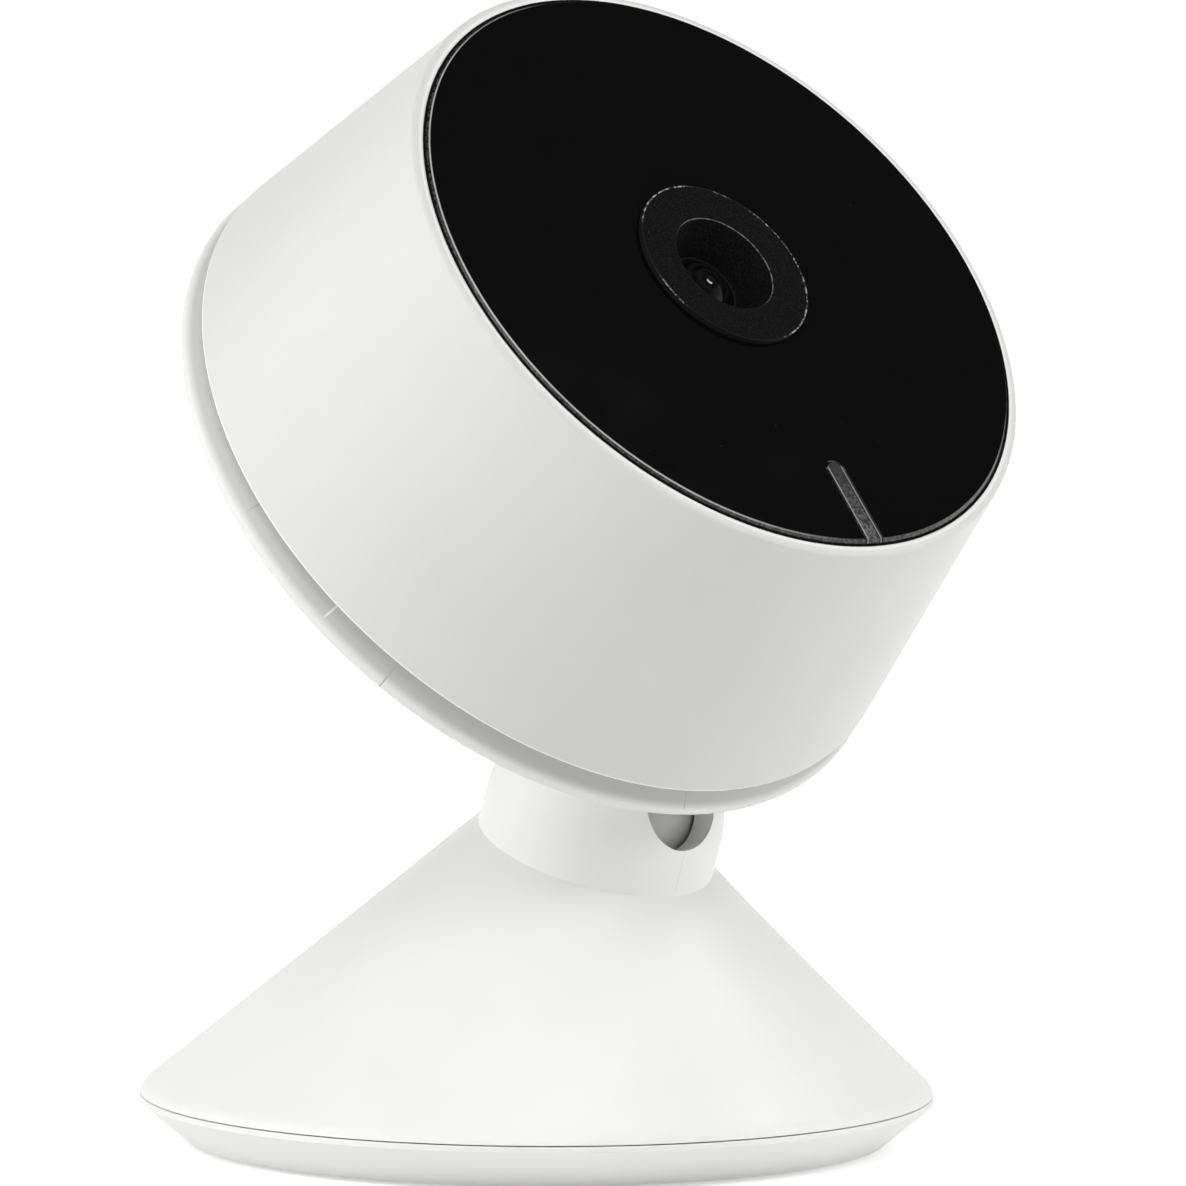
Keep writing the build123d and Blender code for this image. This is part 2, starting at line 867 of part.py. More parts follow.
def heat_spreader():
    """Aluminium plate on the chip."""
    bottom = main_board_front + processor_height
    return block(spreader_length, spreader_width, bottom, bottom + spreader_height, 0, processor_place)


def wifi_antenna():
    """Upright antenna board."""
    top = main_board_front + antenna_height
    return block(antenna_length, antenna_gauge, main_board_front, top, 0, antenna_place)


def microphone():
    """Microphone that listens through the back."""
    return block(mic_length, mic_width, main_board_back - mic_height, main_board_back, mic_x, mic_y)


def socket_mouth():
    """Height of the rear end of the power socket."""
    return crown_height(abs(socket_place)) + plug_recess + socket_recess


def power_socket():
    """Power inlet: round-ended shell with a tongue, standing on the main board."""
    mouth = socket_mouth()
    floor = mouth + socket_depth
    shell = stadium(socket_width, socket_height, mouth, main_board_back, 0, socket_place)
    cavity_width = socket_width - 2 * socket_shell
    cavity_height = socket_height - 2 * socket_shell
    shell = shell - stadium(cavity_width, cavity_height, mouth - overshoot, floor, 0, socket_place)
    tongue_start = mouth + socket_shell
    return shell + block(tongue_width, tongue_thickness, tongue_start, floor, 0, socket_place)


def plunger_bottom():
    """Rear end of the switch's plunger."""
    return main_board_back - switch_height - plunger_height


def reset_switch():
    """Push switch on the main board."""
    bottom = main_board_back - switch_height
    body = block(switch_side, switch_side, bottom, main_board_back, button_x, button_y)
    return body + rod(plunger_radius, plunger_bottom(), bottom, button_x, button_y)


# Back of the head


def button_depth():
    """Height of the cover's back where the button is."""
    return crown_height(sqrt(button_x ** 2 + button_y ** 2))


def reset_button():
    """Small button in the back, kept in by its flange."""
    outside = button_depth() + button_recess
    flange_edge = sqrt(button_x ** 2 + button_y ** 2) + button_radius + button_flange
    flange_bottom = crown_height(flange_edge) + cover_wall + button_clearance
    tail_top = plunger_bottom() - button_travel - button_spare
    button = rod(button_radius, outside, flange_bottom, button_x, button_y)
    flange_top = flange_bottom + button_flange_height
    button = button + rod(button_radius + button_flange, flange_bottom, flange_top, button_x, button_y)
    return button + rod(button_tail_radius, flange_top, tail_top, button_x, button_y)


def cover_envelope():
    """Filled outer shape of the rear cover: spigot, sloping groove, beaded rim and domed back."""
    slope = radians(groove_slope)
    bead_height = -groove_width - bead_radius
    bead_start = Vector(bead_centre + bead_radius * sin(slope), 0, bead_height + bead_radius * cos(slope))
    groove_top = bead_start.Z + (bead_start.X - groove_radius) * tan(slope)
    spigot_end = Vector(groove_radius, 0, cover_spigot_length)
    groove_corner = Vector(groove_radius, 0, groove_top)
    bead_edge = Vector(bead_centre + bead_radius, 0, bead_height)
    rim_end = Vector(bead_centre, 0, rim_back)
    crown_middle = Vector(bead_centre / 2, 0, crown_height(bead_centre / 2))
    pole = Vector(0, 0, crown_height(0))
    outline = [
        Line((0, 0, cover_spigot_length), spigot_end),
        Line(spigot_end, groove_corner),
        Line(groove_corner, bead_start),
        ThreePointArc(bead_start, bead_edge, rim_end),
        ThreePointArc(rim_end, crown_middle, pole),
        Line(pole, (0, 0, cover_spigot_length)),
    ]
    return revolve(make_face(outline), Axis.Z)


def cover_cavity():
    """Hollow of the rear cover."""
    top = cover_spigot_length + overshoot
    rim = Vector(cover_inner_radius, 0, crown_height(cover_inner_radius) + cover_wall)
    middle = Vector(cover_inner_radius / 2, 0, crown_height(cover_inner_radius / 2) + cover_wall)
    pole = Vector(0, 0, crown_height(0) + cover_wall)
    outline = [
        Line((0, 0, top), (cover_inner_radius, 0, top)),
        Line((cover_inner_radius, 0, top), rim),
        ThreePointArc(rim, middle, pole),
        Line(pole, (0, 0, top)),
    ]
    return revolve(make_face(outline), Axis.Z)


def grille_points():
    """Hole centres of the speaker grille: one in the middle and rings round it."""
    points = [(0.0, speaker_place)]
    for ring in range(1, grille_rings + 1):
        count = 6 * ring
        for x, y in ring_points(ring * grille_pitch, [360.0 * step / count for step in range(count)]):
            points.append((x, y + speaker_place))
    return points


def rear_cover():
    """Domed back with the seat for the stem, the speaker grille and the openings."""
    envelope = cover_envelope()
    deep = crown_height(0) - overshoot
    cover = envelope - cover_cavity()
    cover = cover + (rod(stem_boss_radius, deep, boss_top, 0, -stem_drop) & envelope)
    speaker_outer = speaker_radius + screw_clearance + speaker_wall
    wall_top = speaker_seat + speaker_wall_height
    cover = cover + (rod(speaker_outer, deep, wall_top, 0, speaker_place) & envelope)
    for x, y in ring_points(cover_screw_ring, cover_screw_angles):
        cover = cover + (rod(cover_boss_radius, deep, cover_boss_start, x, y) & envelope)
    cover = cover - Pos(0, -stem_drop, -head_reach) * Sphere(dome_recess)
    cover = cover - rod(stem_radius + notch_clearance, deep, stem_face, 0, -stem_drop)
    cover = cover - rod(stem_spigot_radius + stem_fit, deep, boss_top + overshoot, 0, -stem_drop)
    cover = cover - rod(washer_radius + washer_room, boss_top, nut_top, 0, -stem_drop)
    cover = cover - rod(speaker_radius + screw_clearance, speaker_seat, far_reach, 0, speaker_place)
    sound_floor = speaker_seat - sound_depth
    cover = cover - rod(speaker_radius - gasket_width, sound_floor, far_reach, 0, speaker_place)
    for x, y in ring_points(cover_screw_ring, cover_screw_angles):
        cover = cover - rod(screw_well_radius, deep, cover_seat, x, y)
        cover = cover - rod(case_screw[2] + screw_clearance, deep, far_reach, x, y)
    for x, y in grille_points():
        cover = cover - rod(grille_hole_radius, deep, speaker_seat, x, y)
    fit = 2 * cover_fit
    cover = cover - stadium(socket_width + fit, socket_height + fit, deep, far_reach, 0, socket_place)
    plug_floor = crown_height(abs(socket_place)) + plug_recess
    plug_width = socket_width + 2 * plug_margin
    plug_height = socket_height + 2 * plug_margin
    cover = cover - stadium(plug_width, plug_height, deep, plug_floor, 0, socket_place)
    cover = cover - rod(button_radius + button_clearance, deep, far_reach, button_x, button_y)
    return cover - rod(mic_hole_radius, deep, far_reach, mic_x, mic_y)


def rear_cover_screws():
    """Screws through the cover into the shell."""
    points = ring_points(cover_screw_ring, cover_screw_angles)
    return group([Pos(x, y, cover_seat) * screw(case_screw, cover_screw_length) for x, y in points])


def speaker_gasket():
    """Foam ring under the speaker."""
    inner = speaker_radius - gasket_width
    return tube(speaker_radius, inner, speaker_seat, gasket_top, 0, speaker_place)


def speaker():
    """Round speaker with its magnet."""
    basket = rod(speaker_radius, gasket_top, speaker_top, 0, speaker_place)
    magnet_top = speaker_top + speaker_magnet_height
    return basket + rod(speaker_magnet_radius, speaker_top, magnet_top, 0, speaker_place)


base_pieces = {
    "base_shell": base_shell,
    "base_plate": base_plate,
    "rubber_foot": rubber_foot,
    "ballast": ballast,
    "ballast_screw": ballast_screw,
    "base_screws": base_screws,
}
neck_pieces = {
    "friction_cup": friction_cup,
    "clamp_spring": clamp_spring,
    "clamp_plate": clamp_plate,
    "clamp_screws": clamp_screws,
}
head_pieces = {
    "ball_stem": ball_stem,
    "stem_washer": stem_washer,
    "stem_nut": stem_nut,
    "head_shell": head_shell,
    "front_glass": front_glass,
    "mask_film": mask_film,
    "light_pipe": light_pipe,
    "front_frame": front_frame,
    "lens_bezel": lens_bezel,
    "lens_barrel": lens_barrel,
    "lens_front_element": lens_front_element,
    "lens_holder": lens_holder,
    "lens_holder_screws": lens_holder_screws,
    "ir_cut_filter": ir_cut_filter,
    "filter_actuator": filter_actuator,
    "image_sensor": image_sensor,
    "led_board": led_board,
    "infrared_leds": infrared_leds,
    "light_sensor": light_sensor,
    "status_led": status_led,
    "led_connector": led_connector,
    "sensor_board": sensor_board,
    "board_standoffs": board_standoffs,
    "board_screws": board_screws,
    "board_connector": board_connector,
    "main_board": main_board,
    "processor": processor,
    "heat_spreader": heat_spreader,
    "wifi_antenna": wifi_antenna,
    "microphone": microphone,
    "power_socket": power_socket,
    "reset_switch": reset_switch,
    "reset_button": reset_button,
    "rear_cover": rear_cover,
    "rear_cover_screws": rear_cover_screws,
    "speaker_gasket": speaker_gasket,
    "speaker": speaker,
}

os.makedirs("parts", exist_ok=True)
for pieces, place in ((base_pieces, Location()), (neck_pieces, neck_place), (head_pieces, head_place)):
    for name, make in pieces.items():
        part = place * make()
        part.label = name
        export_step(part, f"parts/{name}.step")

print("ball centre", ball_centre)
print("head centre", head_centre)
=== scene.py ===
import json
from math import cos, pi, radians, sin

import bmesh
import bpy
from mathutils import Matrix, Vector


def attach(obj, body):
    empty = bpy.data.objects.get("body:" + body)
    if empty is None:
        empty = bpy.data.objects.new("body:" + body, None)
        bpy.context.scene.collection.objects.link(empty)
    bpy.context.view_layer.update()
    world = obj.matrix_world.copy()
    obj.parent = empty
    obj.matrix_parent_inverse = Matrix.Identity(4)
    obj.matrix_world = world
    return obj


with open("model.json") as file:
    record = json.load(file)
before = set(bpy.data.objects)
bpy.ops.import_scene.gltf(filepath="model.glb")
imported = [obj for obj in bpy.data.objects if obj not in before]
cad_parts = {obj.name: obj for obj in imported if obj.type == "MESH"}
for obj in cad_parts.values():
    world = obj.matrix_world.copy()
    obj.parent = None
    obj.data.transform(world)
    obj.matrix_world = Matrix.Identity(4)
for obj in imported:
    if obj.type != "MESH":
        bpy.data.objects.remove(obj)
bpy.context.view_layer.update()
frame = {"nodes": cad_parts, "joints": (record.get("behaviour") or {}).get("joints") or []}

# Security camera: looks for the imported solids, in metres, in the same frame
MM = 0.001
UP = Vector((0, 0, 1))
FRONT = Vector((0, -1, 0))

# Head frame: z along the lens axis, zero at the shell's rear edge, y up the glass
STEM_DROP = 28.45 * MM
HEAD_REACH = 14.55 * MM
HEAD_LENGTH = 28.4 * MM
joints = {joint["name"]: joint for joint in frame["joints"]}
ball_centre = Vector(joints["head_tilt"]["pos_m"])
head_forward = Vector(joints["head_roll"]["axis"]).normalized()
head_right = Vector((1, 0, 0))
head_up = head_forward.cross(head_right)
head_centre = ball_centre + head_up * STEM_DROP + head_forward * HEAD_REACH
head_turn = Matrix((head_right, head_up, head_forward)).transposed().to_4x4()
head_place = Matrix.Translation(head_centre) @ head_turn

# Sizes taken from the solids
GLASS_RADIUS = 30.4 * MM
GLASS_BEVEL = 0.4 * MM
WINDOW_RADIUS = 8.65 * MM
MOUTH_RADIUS = 5.15 * MM
BEZEL_FRONT = HEAD_LENGTH + 0.87 * MM
PIPE_WIDTH = 1.8 * MM
PIPE_LENGTH = 8.7 * MM
SLOT_CHAMFER = 0.2 * MM
RIM_RADIUS = 36.7 * MM
NECK_LOW = 23.9 * MM
NECK_RADIUS = 10.85 * MM

# Trim rings on the head: radius, height, then half width and half height of the oval section
BEZEL_EDGE = (WINDOW_RADIUS - 0.05 * MM, BEZEL_FRONT, 0.07 * MM, 0.05 * MM)
MOUTH_EDGE = (MOUTH_RADIUS - 0.06 * MM, BEZEL_FRONT - 0.12 * MM, 0.06 * MM, 0.06 * MM)
GLASS_GASKET = (GLASS_RADIUS, HEAD_LENGTH + 0.06 * MM, 0.14 * MM, 0.1 * MM)

# Widths of fine marks: the knit line of the neck, the painted highlights on the shell's edges and the glass,
# the rings of the lens, and the painted light on its ring's wall
KNIT_WIDTH = 0.12 * MM
KNIT_FADE = 0.5 * MM
EDGE_LINE = 0.2 * MM
LIP_LINE = 30.8 * MM
GLINT_WIDTH = 0.13 * MM
LENS_RING = 0.9 * MM
WALL_LINE = 0.06 * MM

# Lines along the light pipe: place across it, tone; the two pale ones are painted highlights on its edges
PIPE_LINE = 0.11 * MM
PIPE_EDGE = PIPE_WIDTH / 2 - PIPE_LINE
PIPE_LINES = (
    (-PIPE_EDGE, 0.36),
    (PIPE_EDGE, 0.3),
    (PIPE_EDGE - 1.4 * PIPE_LINE, 0.004),
)

# Groove of the rear cover, from the shell's rear edge down to the bead of the rim, and the back of that bead
GROOVE_END = -2.45 * MM
GROOVE_FADE = -1.95 * MM
RIM_BACK = -3.2 * MM

# Lines across the groove: degrees round the head from its right, half width, outer end, tone; the pale line
# at 202 degrees is a painted highlight standing for a raised rib
LINE_FADE = 0.3 * MM
COVER_LINES = (
    (183.0, 0.09 * MM, 36.1 * MM, 0.45),
    (202.0, 0.12 * MM, 36.3 * MM, 0.85),
    (214.0, 0.10 * MM, 37.0 * MM, 0.5),
    (264.0, 0.08 * MM, 36.6 * MM, 0.5),
)

# Whites: head, base, ball darkened as painted shade, painted highlights on the shell's rear edge and lip,
# the cover's rim with painted light and its groove with painted shade
HEAD_WHITE = (0.755, 0.755, 0.734)
BASE_WHITE = (0.935, 0.935, 0.91)
BALL_SHADED_WHITE = (0.6, 0.6, 0.58)
EDGE_HIGHLIGHT_WHITE = (0.97, 0.97, 0.95)
LIP_HIGHLIGHT_WHITE = (0.9, 0.9, 0.88)
RIM_LIGHT_WHITE = (0.85, 0.85, 0.828)
GROOVE_SHADE_WHITE = (0.57, 0.57, 0.555)
WHITE_ROUGHNESS = 0.42
BALL_ROUGHNESS = 0.45
KNIT_SHADE = 0.88

# Blacks and greys of the front with its painted glint, painted light and painted shade, and the side of the
# recess that keeps a painted highlight, in degrees from the right
GLASS_BLACK = (0.0022, 0.0022, 0.0024)
DUST_TONE = 0.03
GROUND_TONE = 0.07
PAINTED_GLINT_TONE = 0.5
LENS_BLACK = (0.002, 0.002, 0.0024)
LENS_GREY = (0.008, 0.008, 0.009)
RING_BLACK = (0.004, 0.004, 0.0043)
RING_GREY = (0.011, 0.011, 0.012)
RING_WALL_LIGHT_TONE = 0.014
MOUTH_SHADE_TONE = 0.005
MOUTH_LIT_TURN = 30.7
PIPE_DARK = (0.011, 0.011, 0.011)
PIPE_PALE = (0.14, 0.14, 0.136)

# Gloss: index of each glass, mirror strength of matte pieces, roughness that the edges of the glass add
GLASS_INDEX = 1.38
LENS_INDEX = 1.34
FILTER_INDEX = 1.5
PIPE_GLOSS = 0.15
MATTE_GLOSS = 0.03
EDGE_GLOSS = 0.1
GROUND_ROUGHNESS = 0.12
SLOT_ROUGHNESS = 0.6

# Grain of the surfaces in cells per metre, the detail of the noise, and the range that most of it keeps to
DRIFT_CELLS = 60.0
SMEAR_CELLS = 150.0
WEAR_CELLS = 170.0
TRACK_CELLS = 260.0
DUST_CELLS = 330.0
PAD_CELLS = 700.0
RUBBER_CELLS = 900.0
LENS_SMEAR_CELLS = 900.0
SCRATCH_CELLS = 900.0
SPECK_CELLS = 3000.0
FLECK_CELLS = 3500.0
RING_CELLS = 6000.0
PLASTIC_CELLS = 9000.0
FINE_DETAIL = 3.0
SMEAR_DETAIL = 4.0
NOISE_LOW = 0.3
NOISE_HIGH = 0.7

# Camera
CAMERA_AZIMUTH = radians(-43.107)
CAMERA_ELEVATION = radians(4.669)
CAMERA_ROLL = radians(0.365)
CAMERA_DISTANCE = 834.66 * MM
TARGET_HEIGHT = 49.675 * MM
TARGET_SHIFT = 4.84 * MM
LENS_MM = 280.63
SENSOR_MM = 36.0
CLIP_END = 100.0

# Lamps: name, compass and height angles in degrees, distance and size in metres, power in watts
LAMP_AIM = UP * (45 * MM)
LAMPS = (
    ("lamp_front", -43.0, 45.0, 0.9, 0.6, 2.7),
    ("lamp_front_left", -95.0, 30.0, 0.9, 0.6, 1.75),
    ("lamp_left", -133.0, 20.0, 0.9, 0.6, 3.2),
    ("lamp_right", 47.0, 20.0, 0.9, 0.6, 3.15),
    ("lamp_patch", 47.0, 20.0, 0.9, 0.2, 0.12),
    ("lamp_top", -43.0, 68.0, 0.9, 0.7, 1.75),
    ("lamp_back", 137.0, 14.0, 0.9, 0.6, 2.2),
    ("lamp_spot", 62.1, 48.1, 0.9, 0.14, 0.75),
)

# Lamps that the black glass would mirror as pale discs
UNMIRRORED_LAMPS = ("lamp_left", "lamp_right", "lamp_back")

# Floor: gap under the foot, size and fade of the shadow in metres, tone, gloss and strength of its glow
FLOOR_GAP = 0.05 * MM
FLOOR_RADIUS = 40.0
SHADOW_NEAR = 0.06
SHADOW_FAR = 0.35
SHADOW_GLOW = 0.45
FLOOR_TONE = 0.85
FLOOR_GLOSS = 0.1
FLOOR_GLOW = 0.08

# Surround: strength as a light, strength overhead in reflections, and the slopes between which it fades
AMBIENT = 0.03
OVERHEAD_GLOW = 0.05
OVERHEAD_START = 0.2
OVERHEAD_END = 0.6


def even(tone):
    """Grey of one tone as a colour."""
    return (tone, tone, tone)


def shaded(colour, share):
    """Colour with each channel times a share."""
    return tuple(channel * share for channel in colour)


def direction(compass, height):
    """Direction by its compass and height angles in radians, with the front at zero."""
    return Vector((sin(compass) * cos(height), -cos(compass) * cos(height), sin(height)))


def across_head(turn):
    """Direction across the head, in degrees from its right towards its top."""
    return head_right * cos(radians(turn)) + head_up * sin(radians(turn))


class Shading:
    """Nodes of a material or of the surround, with a short name for each step that the looks use."""

    def __init__(self, tree):
        self.nodes = tree.nodes
        self.links = tree.links

    def feed(self, socket, value):
        """Give an input a fixed number, a fixed colour or the output of another node."""
        if isinstance(value, float):
            socket.default_value = value
        elif isinstance(value, tuple):
            socket.default_value = (*value, 1.0)
        else:
            self.links.new(value, socket)

    def place(self):
        """Place on the object in metres, in the shared frame."""
        return self.nodes.new("ShaderNodeTexCoord").outputs["Object"]

    def noise(self, scale, detail=2.0, stretch=None):
        """Soft noise, with scale in cells per metre, finer along each axis by the stretch."""
        node = self.nodes.new("ShaderNodeTexNoise")
        node.inputs["Scale"].default_value = scale
        node.inputs["Detail"].default_value = detail
        place = self.place()
        if stretch:
            place = self.vector_maths("MULTIPLY", place, stretch)["Vector"]
        self.links.new(place, node.inputs["Vector"])
        return node.outputs["Fac"]

    def cells(self, scale):
        """Distance to the middle of scattered cells, with scale in cells per metre."""
        node = self.nodes.new("ShaderNodeTexVoronoi")
        node.inputs["Scale"].default_value = scale
        self.links.new(self.place(), node.inputs["Vector"])
        return node.outputs["Distance"]

    def vector_maths(self, operation, vector, fixed=(0.0, 0.0, 0.0)):
        """Outputs of vector maths with a fixed second vector."""
        node = self.nodes.new("ShaderNodeVectorMath")
        node.operation = operation
        node.inputs[1].default_value = fixed
        self.links.new(vector, node.inputs[0])
        return node.outputs

    def maths(self, operation, *values):
        """Sum, larger one or the like of numbers."""
        node = self.nodes.new("ShaderNodeMath")
        node.operation = operation
        for socket, value in zip(node.inputs, values):
            self.feed(socket, value)
        return node.outputs["Value"]

    def product(self, first, *others):
        """Product of numbers, or the mask that is one where all masks are one."""
        for other in others:
            first = self.maths("MULTIPLY", first, other)
        return first

    def along(self, point, way):
        """Distance in metres from a point along a direction."""
        offset = self.vector_maths("SUBTRACT", self.place(), point)["Vector"]
        return self.vector_maths("DOT_PRODUCT", offset, way)["Value"]

    def from_axis(self, point, axis):
        """Distance in metres from a line through a point."""
        offset = self.vector_maths("SUBTRACT", self.place(), point)["Vector"]
        cross = self.vector_maths("CROSS_PRODUCT", offset, axis)["Vector"]
        return self.vector_maths("LENGTH", cross)["Value"]

    def span(self, value, low, high, start=NOISE_LOW, end=NOISE_HIGH):
        """Number that runs from low to high as the input goes from start to end."""
        node = self.nodes.new("ShaderNodeMapRange")
        node.inputs["From Min"].default_value = start
        node.inputs["From Max"].default_value = end
        node.inputs["To Min"].default_value = low
        node.inputs["To Max"].default_value = high
        self.links.new(value, node.inputs["Value"])
        return node.outputs["Result"]

    def rise(self, value, start=NOISE_LOW, end=NOISE_HIGH):
        """Mask that rises to one as the input goes from start to end."""
        return self.span(value, 0.0, 1.0, start, end)

    def fall(self, value, start, end):
        """Mask that falls to zero as the input goes from start to end."""
        return self.span(value, 1.0, 0.0, start, end)

    def blend(self, mask, first, second):
        """Colour that runs from first to second with the mask."""
        node = self.nodes.new("ShaderNodeMix")
        node.data_type = "RGBA"
        self.feed(node.inputs["A"], first)
        self.feed(node.inputs["B"], second)
        self.links.new(mask, node.inputs["Factor"])
        return node.outputs["Result"]

    def light_rays(self):
        """Light path switches: one for the camera, one for reflections and glass."""
        path = self.nodes.new("ShaderNodeLightPath").outputs
        mirrored = self.maths("MAXIMUM", path["Is Glossy Ray"], path["Is Transmission Ray"])
        return path["Is Camera Ray"], mirrored


class Paint(Shading):
    """Material with its main shader."""

    def __init__(self, name):
        self.material = bpy.data.materials.new(name)
        self.material.use_nodes = True
        super().__init__(self.material.node_tree)
        self.shader = self.nodes["Principled BSDF"]

    def give(self, name, value):
        """Give an input of the shader a fixed value or the output of a node."""
        self.feed(self.shader.inputs[name], value)

    def tint(self, mask, colour):
        """Lay a colour over the material's own colour where the mask is one."""
        plain = self.shader.inputs["Base Color"].links[0].from_socket
        self.give("Base Color", self.blend(mask, plain, colour))

    def bump(self, height, distance):
        """Relief, with distance in metres."""
        node = self.nodes.new("ShaderNodeBump")
        node.inputs["Distance"].default_value = distance
        self.links.new(height, node.inputs["Height"])
        self.give("Normal", node.outputs["Normal"])

    def head_height(self):
        """Distance along the lens axis from the shell's rear edge."""
        return self.along(head_centre, head_forward)

    def head_radius(self):
        """Distance from the lens axis."""
        return self.from_axis(head_centre, head_forward)


def moulded(name, colour, roughness, grain=PLASTIC_CELLS, relief=0.004 * MM):
    """Moulded or cast surface: faint colour drift, uneven sheen and a fine grain."""
    paint = Paint(name)
    drift = paint.rise(paint.noise(DRIFT_CELLS))
    paint.give("Base Color", paint.blend(drift, shaded(colour, 0.97), colour))
    fine = paint.noise(grain, FINE_DETAIL)
    paint.give("Roughness", paint.span(fine, roughness - 0.05, roughness + 0.05))
    paint.bump(fine, relief)
    return paint


def neck_white():
    """White moulding with the faint line down the front of the neck where the plastic met."""
    paint = moulded("white_plastic_neck", BASE_WHITE, WHITE_ROUGHNESS)
    side = paint.maths("ABSOLUTE", paint.along(ball_centre, head_right))
    near = paint.fall(side, 0.0, KNIT_WIDTH)
    front = paint.rise(paint.along(ball_centre, FRONT), 0.5 * NECK_RADIUS, 0.6 * NECK_RADIUS)
    high = paint.rise(paint.along(UP * NECK_LOW, UP), 0.0, KNIT_FADE)
    paint.tint(paint.product(near, front, high), shaded(BASE_WHITE, KNIT_SHADE))
    return paint


def shell_white():
    """White moulding with painted highlights on its sharp rear edge and front lip."""
    paint = moulded("white_plastic_shell", HEAD_WHITE, WHITE_ROUGHNESS)
    height = paint.head_height()
    # painted highlight along the shell's sharp rear edge
    paint.tint(paint.fall(height, 0.8 * EDGE_LINE, EDGE_LINE), EDGE_HIGHLIGHT_WHITE)
    # painted highlight on the inner part of the front lip
    front = paint.rise(height, HEAD_LENGTH - EDGE_LINE, HEAD_LENGTH - 0.5 * EDGE_LINE)
    inner = paint.fall(paint.head_radius(), LIP_LINE, LIP_LINE + EDGE_LINE)
    paint.tint(paint.product(front, inner), LIP_HIGHLIGHT_WHITE)
    return paint


def cover_white():
    """White moulding with painted light on its rim, painted shade in its groove, and the fine lines that
    cross the groove.
    """
    paint = moulded("white_plastic_cover", HEAD_WHITE, WHITE_ROUGHNESS)
    height = paint.head_height()
    # painted light on the rim's bead, paler than the rest of the cover
    paint.tint(paint.rise(paint.head_radius(), 0.98 * RIM_RADIUS, 0.99 * RIM_RADIUS), RIM_LIGHT_WHITE)
    # painted shade in the groove under the shell's overhang, fading out towards the bead
    paint.tint(paint.rise(height, GROOVE_END, GROOVE_FADE), GROOVE_SHADE_WHITE)
    facing = paint.rise(height, RIM_BACK, RIM_BACK + EDGE_LINE)
    for turn, half_width, outer_end, tone in COVER_LINES:
        side = paint.maths("ABSOLUTE", paint.along(head_centre, across_head(turn + 90)))
        near = paint.fall(side, 0.6 * half_width, half_width)
        reach = paint.along(head_centre, across_head(turn))
        outer = paint.rise(reach, 0.9 * RIM_RADIUS, 0.91 * RIM_RADIUS)
        inner = paint.fall(reach, outer_end - LINE_FADE, outer_end)
        paint.tint(paint.product(near, facing, outer, inner), even(tone))
    return paint


def slot_mask(paint, side):
    """Mask of the slot for the light pipe and its chamfer, below the slot's round end."""
    slot_reach = PIPE_WIDTH / 2 + SLOT_CHAMFER
    beside = paint.fall(paint.maths("ABSOLUTE", side), slot_reach, slot_reach + 0.1 * SLOT_CHAMFER)
    straight = GLASS_RADIUS - PIPE_LENGTH + PIPE_WIDTH / 2
    below = paint.rise(paint.along(head_centre, -head_up), straight, straight + 0.5 * SLOT_CHAMFER)
    return paint.product(beside, below)


def smoked_glass():
    """Black polished disc with a faint smear, a little dust, a ground bevel, a painted highlight as a glint
    on the bevel's left arris, and a matt slot.
    """
    paint = Paint("front_glass")
    dust = paint.fall(paint.cells(DUST_CELLS), 0.012, 0.03)
    paint.give("Base Color", paint.blend(dust, GLASS_BLACK, even(DUST_TONE)))
    radius = paint.head_radius()
    side = paint.along(head_centre, head_right)
    bevel_start = GLASS_RADIUS - GLASS_BEVEL
    ground = paint.rise(radius, bevel_start, bevel_start + 0.1 * GLASS_BEVEL)
    speck = paint.rise(paint.noise(SPECK_CELLS, FINE_DETAIL), 0.42, 0.62)
    paint.tint(paint.product(ground, speck), even(GROUND_TONE))
    # painted highlight: glint along the inner arris of the bevel, on the left side only
    glint_arris = paint.fall(radius, bevel_start + 0.7 * GLINT_WIDTH, bevel_start + GLINT_WIDTH)
    lit_left = paint.fall(side, -0.6 * GLASS_RADIUS, -0.1 * GLASS_RADIUS)
    paint.tint(paint.product(ground, glint_arris, lit_left), even(PAINTED_GLINT_TONE))
    polish = paint.span(paint.noise(SMEAR_CELLS, SMEAR_DETAIL), 0.03, 0.05)
    worn = paint.maths("ADD", polish, paint.product(ground, GROUND_ROUGHNESS))
    matt = paint.product(slot_mask(paint, side), SLOT_ROUGHNESS)
    paint.give("Roughness", paint.maths("ADD", worn, matt))
    paint.give("IOR", GLASS_INDEX)
    return paint


def coated_lens():
    """Dark polished lens with the faint rings of the elements behind it."""
    paint = Paint("lens_glass")
    wave = paint.maths("SINE", paint.product(paint.head_radius(), 2 * pi / LENS_RING))
    paint.give("Base Color", paint.blend(paint.rise(wave, -1.0, 1.0), LENS_BLACK, LENS_GREY))
    paint.give("Roughness", paint.span(paint.noise(LENS_SMEAR_CELLS), 0.01, 0.03))
    paint.give("IOR", LENS_INDEX)
    return paint


